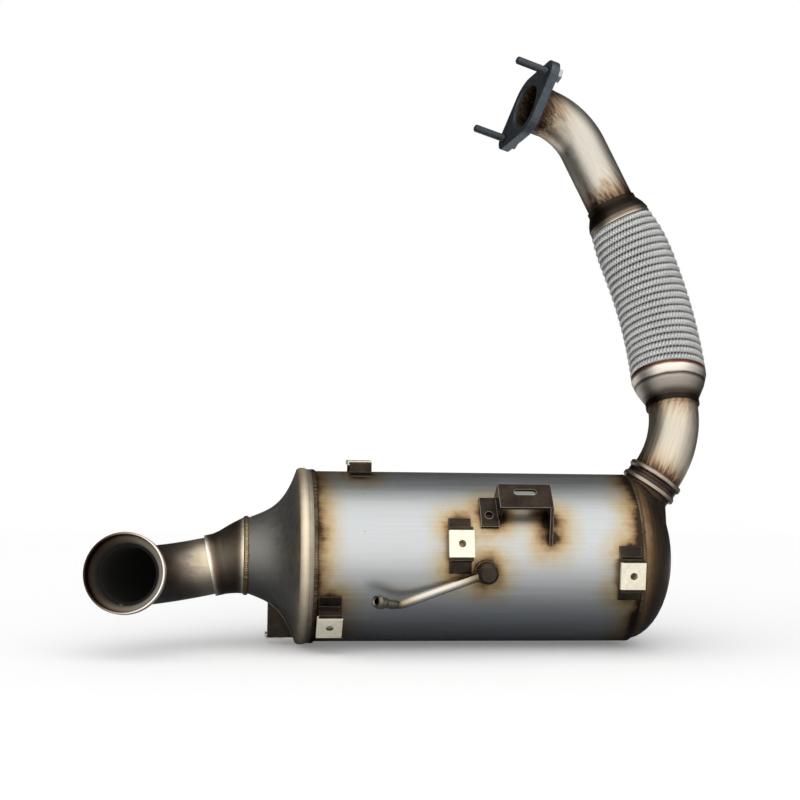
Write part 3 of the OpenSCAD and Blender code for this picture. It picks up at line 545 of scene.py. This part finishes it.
wire_ramp.color_ramp.elements[1].color = linear("#fbfbf9")
wire_tone = add(wire_tree, "ShaderNodeVectorMath", {
    0: wire_ramp.outputs["Color"], "Scale": wire_shade.outputs[0]}, operation="SCALE")
wire_tree.links.new(wire_tone.outputs[0], wire_shader.inputs["Base Color"])
wire_relief = add(wire_tree, "ShaderNodeBump", {"Height": wire_round, "Strength": 0.7, "Distance": wire_deep})
wire_tree.links.new(wire_relief.outputs[0], wire_shader.inputs["Normal"])

# The plait: bands of both hands are set evenly round the axis, and the whole is bowed as the flex hangs.
plait = bpy.data.node_groups.new("plaited_sleeve", "GeometryNodeTree")
plait.interface.new_socket("Geometry", in_out="OUTPUT", socket_type="NodeSocketGeometry")
plait_in = {}
for label, kind in (
        ("Right band", "NodeSocketObject"), ("Left band", "NodeSocketObject"), ("Bands", "NodeSocketInt"),
        ("Bow radius", "NodeSocketFloat"), ("Wire", "NodeSocketMaterial")):
    plait_in[label] = plait.interface.new_socket(label, in_out="INPUT", socket_type=kind).identifier
given = add(plait, "NodeGroupInput")
bow_r = given.outputs["Bow radius"]
both = add(plait, "GeometryNodeJoinGeometry")
step = add(plait, "ShaderNodeMath", {0: 2 * math.pi, 1: given.outputs["Bands"]}, operation="DIVIDE")
count = add(plait, "GeometryNodeInputIndex")
for label in ("Right band", "Left band"):
    band = add(plait, "GeometryNodeObjectInfo", {"Object": given.outputs[label]})
    points = add(plait, "GeometryNodePoints", {"Count": given.outputs["Bands"]})
    spin = add(plait, "ShaderNodeMath", {0: count.outputs[0], 1: step.outputs[0]}, operation="MULTIPLY")
    spin = add(plait, "ShaderNodeCombineXYZ", {"Z": spin.outputs[0]})
    placed = add(plait, "GeometryNodeInstanceOnPoints", {
        "Points": points.outputs[0], "Instance": band.outputs["Geometry"], "Rotation": spin.outputs[0]})
    plait.links.new(placed.outputs[0], both.inputs[0])
real = add(plait, "GeometryNodeRealizeInstances", {0: both.outputs[0]})
spot = add(plait, "ShaderNodeSeparateXYZ", {0: add(plait, "GeometryNodeInputPosition").outputs[0]})
bow = add(plait, "ShaderNodeMath", {0: spot.outputs["Z"], 1: bow_r}, operation="DIVIDE")
arm = add(plait, "ShaderNodeMath", {0: bow_r, 1: spot.outputs["X"]}, operation="SUBTRACT")
bow_cos = add(plait, "ShaderNodeMath", {0: bow.outputs[0]}, operation="COSINE")
bow_sin = add(plait, "ShaderNodeMath", {0: bow.outputs[0]}, operation="SINE")
back = add(plait, "ShaderNodeMath", {0: arm.outputs[0], 1: bow_cos.outputs[0]}, operation="MULTIPLY")
new_x = add(plait, "ShaderNodeMath", {0: bow_r, 1: back.outputs[0]}, operation="SUBTRACT")
new_z = add(plait, "ShaderNodeMath", {0: arm.outputs[0], 1: bow_sin.outputs[0]}, operation="MULTIPLY")
bowed = add(plait, "ShaderNodeCombineXYZ", {
    "X": new_x.outputs[0], "Y": spot.outputs["Y"], "Z": new_z.outputs[0]})
shaped = add(plait, "GeometryNodeSetPosition", {"Geometry": real.outputs[0], "Position": bowed.outputs[0]})
dressed = add(plait, "GeometryNodeSetMaterial", {
    "Geometry": shaped.outputs[0], "Material": given.outputs["Wire"]})
add(plait, "NodeGroupOutput", {0: dressed.outputs[0]})


def grown(name, tree, values, place):
    """Runs a geometry tree on an empty mesh and keeps its result as a plain mesh at the given frame."""
    host = bpy.data.objects.new(name + "_host", bpy.data.meshes.new(name + "_host"))
    bpy.context.scene.collection.objects.link(host)
    modifier = host.modifiers.new("grow", "NODES")
    modifier.node_group = tree
    for identifier, value in values.items():
        modifier[identifier] = value
    graph = bpy.context.evaluated_depsgraph_get()
    mesh = bpy.data.meshes.new_from_object(host.evaluated_get(graph), depsgraph=graph)
    host.modifiers.remove(modifier)
    bpy.data.objects.remove(host)
    mesh.transform(place)
    mesh.polygons.foreach_set("use_smooth", [True] * len(mesh.polygons))
    mesh.update()
    piece = bpy.data.objects.new(name, mesh)
    bpy.context.scene.collection.objects.link(piece)
    return piece


braid = grown("woven_sleeve", plait, {
    plait_in["Right band"]: strands[0], plait_in["Left band"]: strands[1], plait_in["Bands"]: band_count,
    plait_in["Bow radius"]: flex_bow_r, plait_in["Wire"]: wire}, flex_start)
for strand in strands:
    bpy.data.objects.remove(strand)
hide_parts("flex_braid")
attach(braid, "root")

# Flange: a forged plate with two lugs, black with mill scale, and welded to the end of the upper pipe.
# Mill scale is blue-black and slightly rough, with a faint grit that breaks up its reflections.
# The grit is drawn 2 mm across, coarser than the real one, so that it shows.
grit_mm = 2
grit_deep = 0.0004
scale = bpy.data.materials.new("forged_iron_mill_scale")
scale.use_nodes = True
scale_tree = scale.node_tree
scale_shader = scale_tree.nodes["Principled BSDF"]
scale_shader.inputs["Metallic"].default_value = 0.85
scale_grit = add(scale_tree, "ShaderNodeTexNoise", {
    "Vector": add(scale_tree, "ShaderNodeTexCoord").outputs["Object"], "Scale": 1000 / grit_mm,
    "Detail": 6.0, "Roughness": 0.65})
scale_ramp = add(scale_tree, "ShaderNodeValToRGB", {"Fac": scale_grit.outputs["Fac"]})
scale_ramp.color_ramp.elements[0].position = 0.3
scale_ramp.color_ramp.elements[0].color = linear("#3a4046")
scale_ramp.color_ramp.elements[1].position = 0.75
scale_ramp.color_ramp.elements[1].color = linear("#626a71")
scale_tree.links.new(scale_ramp.outputs["Color"], scale_shader.inputs["Base Color"])
scale_gloss = add(scale_tree, "ShaderNodeMapRange", {
    "Value": scale_grit.outputs["Fac"], "To Min": 0.32, "To Max": 0.55})
scale_tree.links.new(scale_gloss.outputs[0], scale_shader.inputs["Roughness"])
scale_relief = add(scale_tree, "ShaderNodeBump", {
    "Height": scale_grit.outputs["Fac"], "Strength": 0.12, "Distance": grit_deep})
scale_tree.links.new(scale_relief.outputs[0], scale_shader.inputs["Normal"])
paint("outlet_flange", scale)


def eased(node, width):
    """Rounds the sharp edges of a carried-over solid, as tumbling or a press tool leaves them."""
    joined = frame["nodes"][node].modifiers.new("joined", "WELD")
    joined.merge_threshold = 0.00002
    ease = frame["nodes"][node].modifiers.new("eased", "BEVEL")
    ease.width = width
    ease.segments = 2
    ease.limit_method = "ANGLE"
    ease.angle_limit = math.radians(40)


eased("outlet_flange", 0.0007)

# Flange studs: two hexagon-head bolts, put in from behind, with a rolled M8 thread in front of the plate.
# The shanks are blackened, and the heads are a brighter steel, painted as their highlight.
stud_r = mounts["outlet_studs"]["dims"]["stud_r_mm"] / 1000
stud_out = mounts["outlet_studs"]["dims"]["pcd_mm"] / 2000
stud_reach = 0.042
plate_t = 0.009
thread_pitch = 0.00125
thread_deep = 0.0007
tip_chamfer = 0.0012
into_head = 0.001
around, rows_per_turn, flats = 24, 6, 6
thread_rows = int((stud_reach - plate_t) / thread_pitch * rows_per_turn)
head_rings = ((-0.0055, 0.0066), (-0.0049, 0.0075), (0.0, 0.0075))
stud_verts, stud_faces, head_faces = [], [], []
for side in (-1, 1):
    first = len(stud_verts)
    threaded = [plate_t + (stud_reach - plate_t) * k / thread_rows for k in range(1, thread_rows + 1)]
    stations = [(-into_head, False), (plate_t, False)] + [(z, True) for z in threaded]
    for z, cut in stations:
        for k in range(around):
            a = 2 * math.pi * k / around
            phase = (z / thread_pitch - k / around) % 1.0
            groove = thread_deep * (1 - abs(2 * phase - 1)) if cut else 0.0
            r = stud_r - groove - max(0.0, z - (stud_reach - tip_chamfer))
            stud_verts.append((side * stud_out + r * math.cos(a), r * math.sin(a), z))
    last = len(stations) - 1
    for s in range(last):
        base = first + s * around
        for k in range(around):
            n = (k + 1) % around
            stud_faces.append((base + k, base + n, base + around + n, base + around + k))
    stud_faces.append(tuple(first + last * around + k for k in range(around)))
    stud_faces.append(tuple(first + k for k in reversed(range(around))))
    head, head_first = len(stud_verts), len(stud_faces)
    for z, r in head_rings:
        for k in range(flats):
            a = 2 * math.pi / flats * k
            stud_verts.append((side * stud_out + r * math.cos(a), r * math.sin(a), z))
    for s in range(len(head_rings) - 1):
        base = head + flats * s
        for k in range(flats):
            n = (k + 1) % flats
            stud_faces.append((base + k, base + n, base + flats + n, base + flats + k))
    stud_faces.append(tuple(head + k for k in reversed(range(flats))))
    stud_faces.append(tuple(base + flats + k for k in range(flats)))
    head_faces += range(head_first, len(stud_faces))
stud_mesh = bpy.data.meshes.new("threaded_studs")
stud_mesh.from_pydata(stud_verts, [], stud_faces)
stud_mesh.transform(flange)
stud_mesh.update()
stud_mesh.materials.append(steel_heat_tints_and_painted_light(
    "bolt_steel_blackened", [(0, "#3c4043"), (30, "#6a6f73"), (60, "#4a4d50")],
    grain=(3, 0.6), rough=(0.3, 0.45)))
# The heads' brighter steel is a painted highlight.
stud_mesh.materials.append(steel_heat_tints_and_painted_light(
    "bolt_steel_bright", [(0, "#8b8f92"), (60, "#c4c8ca")], grain=(3, 0.6), rough=(0.3, 0.42)))
for face in head_faces:
    stud_mesh.polygons[face].material_index = 1
studs = bpy.data.objects.new("threaded_studs", stud_mesh)
bpy.context.scene.collection.objects.link(studs)
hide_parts("flange_studs")
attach(studs, "root")

# Weld beads: each is a row of overlapping drops, laid while the part turned under the torch.
# They join the can to its cones, the cone to the reducer, the flange to its pipe and the boss to the can.
drop_lean = 0.55
drop_overlap = 0.95
drop_least, drop_most = 0.85, 1.15
bead = bpy.data.node_groups.new("weld_bead", "GeometryNodeTree")
bead.interface.new_socket("Geometry", in_out="OUTPUT", socket_type="NodeSocketGeometry")
bead_in = {}
for label, kind in (
        ("Ring radius", "NodeSocketFloat"), ("Drop spacing", "NodeSocketFloat"),
        ("Drop width", "NodeSocketFloat"), ("Drop height", "NodeSocketFloat"),
        ("Metal", "NodeSocketMaterial")):
    bead_in[label] = bead.interface.new_socket(label, in_out="INPUT", socket_type=kind).identifier
laid = add(bead, "NodeGroupInput")
spacing = laid.outputs["Drop spacing"]
ring = add(bead, "GeometryNodeCurvePrimitiveCircle", {
    "Resolution": 180, "Radius": laid.outputs["Ring radius"]})
ring = add(bead, "GeometryNodeResampleCurve", {"Curve": ring.outputs[0], "Length": spacing}, mode="LENGTH")
drop = add(bead, "GeometryNodeMeshUVSphere", {"Segments": 12, "Rings": 7, "Radius": 1.0})
tangent = add(bead, "GeometryNodeInputTangent").outputs[0]
heading = add(bead, "FunctionNodeAlignRotationToVector", {"Vector": tangent}, axis="X", pivot_axis="Z")
lean = add(bead, "FunctionNodeRotateRotation", {
    "Rotation": heading.outputs[0], "Rotate By": (0.0, drop_lean, 0.0)}, rotation_space="LOCAL")
vary = add(bead, "FunctionNodeRandomValue", {2: drop_least, 3: drop_most, "Seed": 7}, data_type="FLOAT")
drop_long = add(bead, "ShaderNodeMath", {0: spacing, 1: drop_overlap}, operation="MULTIPLY")
drop_size = add(bead, "ShaderNodeCombineXYZ", {
    "X": drop_long.outputs[0], "Y": laid.outputs["Drop height"], "Z": laid.outputs["Drop width"]})
drop_size = add(bead, "ShaderNodeVectorMath", {
    0: drop_size.outputs[0], "Scale": vary.outputs[1]}, operation="SCALE")
drops = add(bead, "GeometryNodeInstanceOnPoints", {
    "Points": ring.outputs[0], "Instance": drop.outputs[0], "Rotation": lean.outputs[0],
    "Scale": drop_size.outputs[0]})
solid = add(bead, "GeometryNodeRealizeInstances", {0: drops.outputs[0]})
finished = add(bead, "GeometryNodeSetMaterial", {
    "Geometry": solid.outputs[0], "Material": laid.outputs["Metal"]})
add(bead, "NodeGroupOutput", {0: finished.outputs[0]})

# Weld metal: dark oxide with bronze glints on the can, and a brushed, golden bead on the reducer.
oxide = steel_heat_tints_and_painted_light(
    "weld_metal_oxidised", [(0, "#2d2924"), (25, "#4a4034"), (45, "#7a6a52"), (60, "#a29176")],
    grain=(3, 1.5), rough=(0.3, 0.5), bump=0.4)
brushed_bead = steel_heat_tints_and_painted_light(
    "weld_metal_brushed", [(0, "#4e4234"), (25, "#8a744f"), (60, "#cdb892")],
    grain=(3, 1.5), rough=(0.25, 0.42), bump=0.4)
along_can = Matrix.Translation(can_start) @ Matrix.Rotation(math.pi / 2, 4, "Y")
cone_bead_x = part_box("inlet_cone_weld")[0][0] + 0.0025 - can_start.x
boss_low, boss_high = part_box("pressure_boss")
boss_r = (boss_high[0] - boss_low[0]) / 2
for name, replaced, place, radius, pitch, width, height, metal in (
        ("can_inlet_weld_bead", "can_inlet_weld", along_can @ Matrix.Translation((0, 0, 0.0006)),
         can_r + 0.0004, 0.0024, 0.0026, 0.0014, oxide),
        ("can_outlet_weld_bead", "can_outlet_weld", along_can @ Matrix.Translation((0, 0, can_len + 0.0010)),
         can_r - 0.0009, 0.0024, 0.0021, 0.0010, oxide),
        ("inlet_cone_weld_bead", "inlet_cone_weld", along_can @ Matrix.Translation((0, 0, cone_bead_x)),
         0.0348, 0.0022, 0.0022, 0.0012, brushed_bead),
        ("flange_weld_bead", "flange_weld", flange @ Matrix.Translation((0, 0, -0.0012)),
         0.0247, 0.0022, 0.0020, 0.0016, oxide),
        ("pressure_boss_bead", None, on_can(boss_x, boss_theta, 0.0004),
         boss_r + 0.0003, 0.0026, 0.0016, 0.0016, oxide)):
    seam = grown(name, bead, {
        bead_in["Ring radius"]: radius, bead_in["Drop spacing"]: pitch, bead_in["Drop width"]: width,
        bead_in["Drop height"]: height, bead_in["Metal"]: metal}, place)
    if replaced:
        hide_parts(replaced)
    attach(seam, "root")

# Shield and engine brackets: strip steel, cut and folded on a press, and welded by their feet.
# Four shield brackets and the engine bracket stand on the can, and one stands under the inlet cone.
# The heat has scaled them brown-black, and a pale line is painted along every edge as its highlight.
scorched = steel_heat_tints_and_painted_light(
    "folded_strip_scorched", [(0, "#191613"), (22, "#29241f"), (40, "#3b332b"), (60, "#5b5045")],
    grain=(12, 3), rough=(0.26, 0.42), bump=0.15)
edge_highlight_r = 0.0012
scorched_tree = scorched.node_tree
scorched_shader = scorched_tree.nodes["Principled BSDF"]
scorched_clean = scorched_shader.inputs["Base Color"].links[0].from_socket
# The pale edge line is a painted highlight, found where the rounded normal turns away from the face.
edge_round = add(scorched_tree, "ShaderNodeBevel", {"Radius": edge_highlight_r}, samples=8)
edge_flat = add(scorched_tree, "ShaderNodeNewGeometry").outputs["True Normal"]
edge_turn = add(scorched_tree, "ShaderNodeVectorMath", {
    0: edge_round.outputs[0], 1: edge_flat}, operation="DOT_PRODUCT")
edge_highlight = add(scorched_tree, "ShaderNodeMapRange", {
    "Value": edge_turn.outputs["Value"], "From Min": 0.75, "From Max": 0.97, "To Min": 0.8, "To Max": 0.0})
scorched_edge_lit = add(scorched_tree, "ShaderNodeMix", {
    "Factor": edge_highlight.outputs[0], 6: scorched_clean, 7: linear("#b3aa9c")}, data_type="RGBA")
scorched_tree.links.new(scorched_edge_lit.outputs[2], scorched_shader.inputs["Base Color"])
for node in ("left", "middle", "right", "top", "cone"):
    paint("shield_bracket_" + node, scorched)
    eased("shield_bracket_" + node, 0.0004)
paint("engine_bracket", scorched)

# Clip nuts: spring steel, punched and folded over each bracket, where a shield screw bites into it.
# Their zinc stays pale cream beside the burnt strip, with a cloudy bloom a few millimetres across.
bloom_mm = 4
zinc = bpy.data.materials.new("spring_steel_zinc_plated")
zinc.use_nodes = True
zinc_tree = zinc.node_tree
zinc_shader = zinc_tree.nodes["Principled BSDF"]
zinc_shader.inputs["Metallic"].default_value = 0.55
zinc_bloom = add(zinc_tree, "ShaderNodeTexNoise", {
    "Vector": add(zinc_tree, "ShaderNodeTexCoord").outputs["Object"], "Scale": 1000 / bloom_mm,
    "Detail": 5.0, "Roughness": 0.6})
zinc_ramp = add(zinc_tree, "ShaderNodeValToRGB", {"Fac": zinc_bloom.outputs["Fac"]})
zinc_ramp.color_ramp.elements[0].position = 0.3
zinc_ramp.color_ramp.elements[0].color = linear("#dfd6be")
zinc_ramp.color_ramp.elements[1].position = 0.65
zinc_ramp.color_ramp.elements[1].color = linear("#f1ead6")
zinc_tree.links.new(zinc_ramp.outputs["Color"], zinc_shader.inputs["Base Color"])
zinc_gloss = add(zinc_tree, "ShaderNodeMapRange", {
    "Value": zinc_bloom.outputs["Fac"], "To Min": 0.3, "To Max": 0.5})
zinc_tree.links.new(zinc_gloss.outputs[0], zinc_shader.inputs["Roughness"])
paint("clip_nuts", zinc)
eased("clip_nuts", 0.0003)

# Pressure tap: a turned boss welded to the can, a thin drawn tube, and an open nipple for a hose.
# The tube is bright along its top and browned at both ends, where it was brazed.
nipple_tip = Vector(mounts["pressure_nipple"]["pos_m"])
nipple_axis = Vector(mounts["pressure_nipple"]["axis"])
braze_back = 0.016
boss_braze, boss_braze_r = on_can(boss_x, boss_theta, 0.008).translation, 0.008
paint("pressure_boss", steel_heat_tints_and_painted_light(
    "turned_steel_scorched", [(0, "#1e1b19"), (25, "#38312a"), (60, "#5d5347")],
    grain=(6, 1), rough=(0.28, 0.45)))
paint("pressure_pipe", steel_heat_tints_and_painted_light(
    "drawn_stainless_tube_fine", [(0, "#57493a"), (12, "#a89a84"), (24, "#c9c2b4"), (60, "#c6c0b4")],
    grain=(20, 1), rough=(0.16, 0.3),
    spots=[(boss_braze, boss_braze_r), (nipple_tip - nipple_axis * braze_back, 0.0)]))
paint("pressure_nipple", steel_heat_tints_and_painted_light(
    "turned_steel_nipple", [(0, "#3a342e"), (30, "#6f685d"), (60, "#a49c8d")],
    grain=(4, 0.8), rough=(0.22, 0.36)))

# Studio: a white paper floor in a white tent, with one broad, soft lamp.
# Grey felt flags stand outside the view. Only reflections see them, and they give the metal its dark edges.
floor_z = cad_box[0][2]
paper = bpy.data.materials.new("paper_white")
paper.use_nodes = True
paper_shader = paper.node_tree.nodes["Principled BSDF"]
paper_shader.inputs["Base Color"].default_value = linear("#f4f4f4")
paper_shader.inputs["Roughness"].default_value = 0.9
paper_shader.inputs["Emission Color"].default_value = (1, 1, 1, 1)
paper_shader.inputs["Emission Strength"].default_value = 0.17


def card(name, corners, surface):
    """One flat card of the studio."""
    mesh = bpy.data.meshes.new(name)
    mesh.from_pydata(corners, [], [(0, 1, 2, 3)])
    mesh.materials.append(surface)
    made = bpy.data.objects.new(name, mesh)
    bpy.context.scene.collection.objects.link(made)
    return made


card("floor", [(-6, -4, floor_z), (7, -4, floor_z), (7, 9, floor_z), (-6, 9, floor_z)], paper)
left, right, rear, low, high, lid = -0.6, 1.1, 1.7, -0.1, 1.1, 1.0
behind, behind_low = 1.3, -0.05
under_z = floor_z + 0.001
for side, colour, fade, corners in (
        ("back", "#2b2a2a", (-1.0, 0.0), [
            (left, behind, behind_low), (right, behind, behind_low),
            (right, behind, high), (left, behind, high)]),
        ("left", "#2b2a2a", (-0.80, 0.10), [
            (left, -0.80, low), (left, rear, low), (left, rear, high), (left, -0.80, high)]),
        ("right", "#3c3b3a", (-0.55, 0.45), [
            (right, -0.55, low), (right, rear, low), (right, rear, high), (right, -0.55, high)]),
        ("top", "#55565a", (-0.30, 0.45), [
            (left, -0.30, lid), (right, -0.30, lid), (right, rear, lid), (left, rear, lid)]),
        ("under", "#74787f", (-0.22, 0.06), [
            (-0.5, -0.22, under_z), (1.0, -0.22, under_z), (1.0, 0.4, under_z), (-0.5, 0.4, under_z)])):
    felt = bpy.data.materials.new("felt_grey_" + side)
    felt.use_nodes = True
    felt_tree = felt.node_tree
    felt_shader = felt_tree.nodes["Principled BSDF"]
    felt_shader.inputs["Base Color"].default_value = linear(colour)
    felt_shader.inputs["Roughness"].default_value = 1.0
    felt_place = add(felt_tree, "ShaderNodeTexCoord").outputs["Object"]
    felt_place = add(felt_tree, "ShaderNodeSeparateXYZ", {0: felt_place})
    felt_dense = add(felt_tree, "ShaderNodeMapRange", {
        "Value": felt_place.outputs["Y"], "From Min": fade[0], "From Max": fade[1]},
        interpolation_type="SMOOTHSTEP")
    felt_clear = add(felt_tree, "ShaderNodeBsdfTransparent")
    felt_mix = add(felt_tree, "ShaderNodeMixShader", {
        0: felt_dense.outputs[0], 1: felt_clear.outputs[0], 2: felt_shader.outputs[0]})
    felt_tree.links.new(felt_mix.outputs[0], felt_tree.nodes["Material Output"].inputs["Surface"])
    flag = card("flag_" + side, corners, felt)
    flag.visible_camera = False
    flag.visible_diffuse = False
    flag.visible_shadow = False
    flag.visible_transmission = False

# White tent: white to the eye and in reflections, and dimmer as a lamp, so pale metal doesn't clip.
world = bpy.data.worlds.new("white_tent")
bpy.context.scene.world = world
world.use_nodes = True
sky = world.node_tree
background = sky.nodes["Background"]
background.inputs["Color"].default_value = (1, 1, 1, 1)
path = add(sky, "ShaderNodeLightPath").outputs
seen = add(sky, "ShaderNodeMath", {0: path["Is Camera Ray"], 1: path["Is Glossy Ray"]}, operation="MAXIMUM")
seen = add(sky, "ShaderNodeMath", {0: seen.outputs[0], 1: path["Is Transmission Ray"]}, operation="MAXIMUM")
level = add(sky, "ShaderNodeMapRange", {"Value": seen.outputs[0], "To Min": 0.55, "To Max": 1.0})
sky.links.new(level.outputs[0], background.inputs["Strength"])
sun = bpy.data.lights.new("key", "SUN")
sun.energy = 1.6
sun.angle = math.radians(120)
key = bpy.data.objects.new("key", sun)
key.rotation_euler = (math.radians(38), 0, math.radians(-15))
bpy.context.scene.collection.objects.link(key)

# Camera: level with the flex's foot, in front of the can and turned a little to the right.
# Its lens and place were fitted to the outlines in the photograph.
camera_from_can = Vector((-0.088, -1.374, 0.144))
camera_turn, camera_roll = math.radians(7), math.radians(1)
lens = bpy.data.cameras.new("camera")
lens.lens = 67.5
lens.sensor_width = 36
camera = bpy.data.objects.new("camera", lens)
upright = Matrix.Rotation(math.pi / 2, 4, "X")
aim = Matrix.Rotation(-camera_turn, 4, "Z") @ upright @ Matrix.Rotation(camera_roll, 4, "Z")
camera.matrix_world = Matrix.Translation(can_start + camera_from_can) @ aim
bpy.context.scene.collection.objects.link(camera)
bpy.context.scene.camera = camera
bpy.context.scene.view_settings.view_transform = "Standard"
